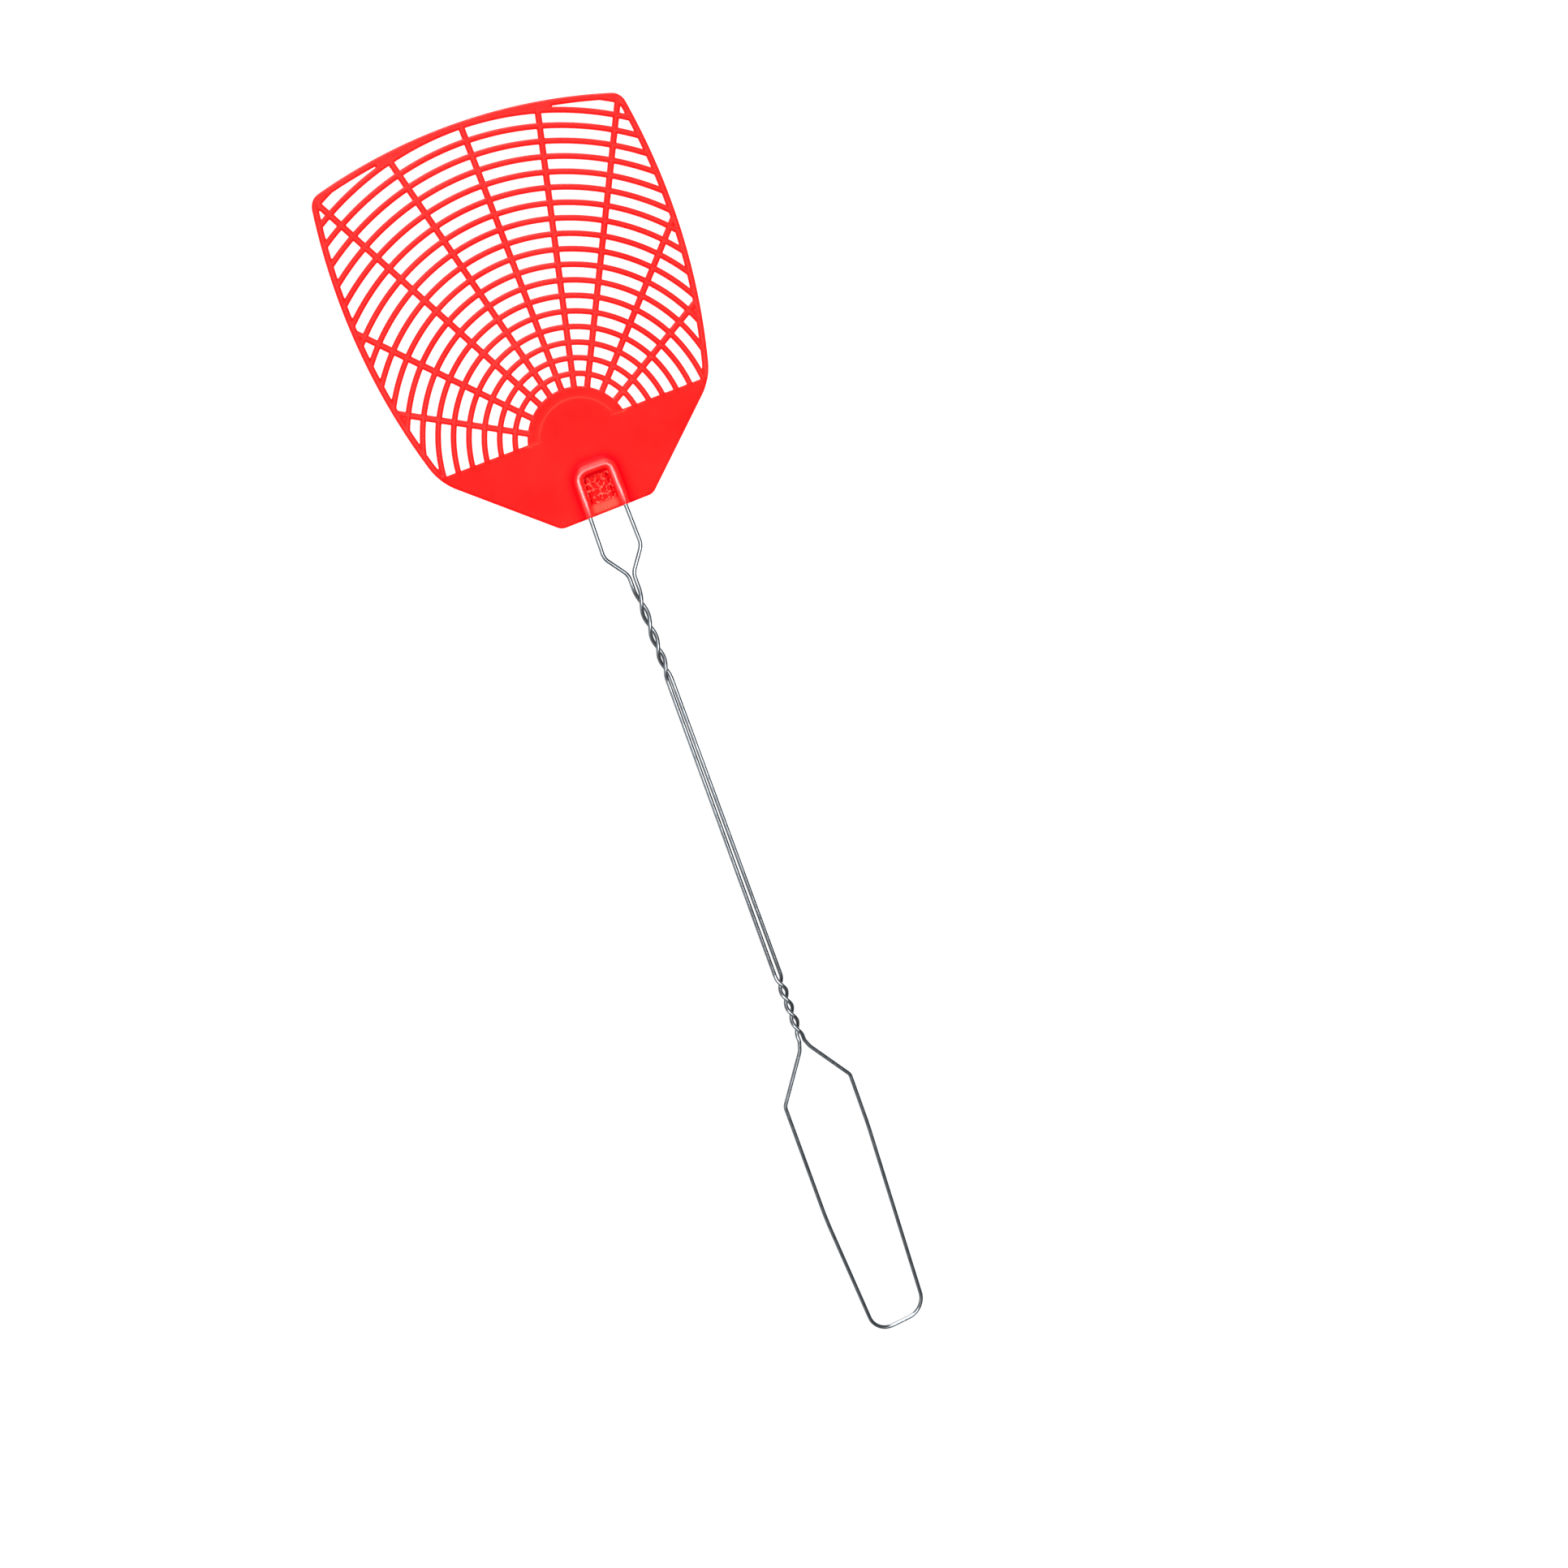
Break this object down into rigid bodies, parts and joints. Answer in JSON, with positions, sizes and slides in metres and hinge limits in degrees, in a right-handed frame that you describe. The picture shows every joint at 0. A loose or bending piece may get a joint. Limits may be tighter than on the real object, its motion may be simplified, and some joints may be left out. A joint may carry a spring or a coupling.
{
  "type": "fly swatter",
  "caption": "Fly swatter: soft red moulded blade with spokes and curved ribs, welded over the hooked end of a twisted wire handle with a hand loop.",
  "frame": {"origin": "middle of the bounding box, on the flat back of the blade", "axes": "+Y from the hand loop to the top of the blade, +Z out of the striking face, +X to the right seen from the striking face"},
  "size_m": [0.1152, 0.445, 0.0036],
  "materials": {
    "red_plastic": "satin with a fine moulded grain",
    "zinc_wire": "drawn, zinc coated"
  },
  "bodies": {
    "handle": {"blade_neck": "red_plastic", "pocket_flap": "red_plastic", "wire_left_strand": "zinc_wire", "wire_right_strand": "zinc_wire", "hand_loop": "zinc_wire"},
    "blade": {"blade_grid": "red_plastic"}
  },
  "joints": [
    {"name": "blade_flex", "type": "hinge", "parent": "handle", "child": "blade", "pos_m": [0, 0.1106, 0.0007], "axis": [1, 0, 0], "range_deg": [-30, 30], "stiffness_Nm_per_rad": 0.15}
  ]
}
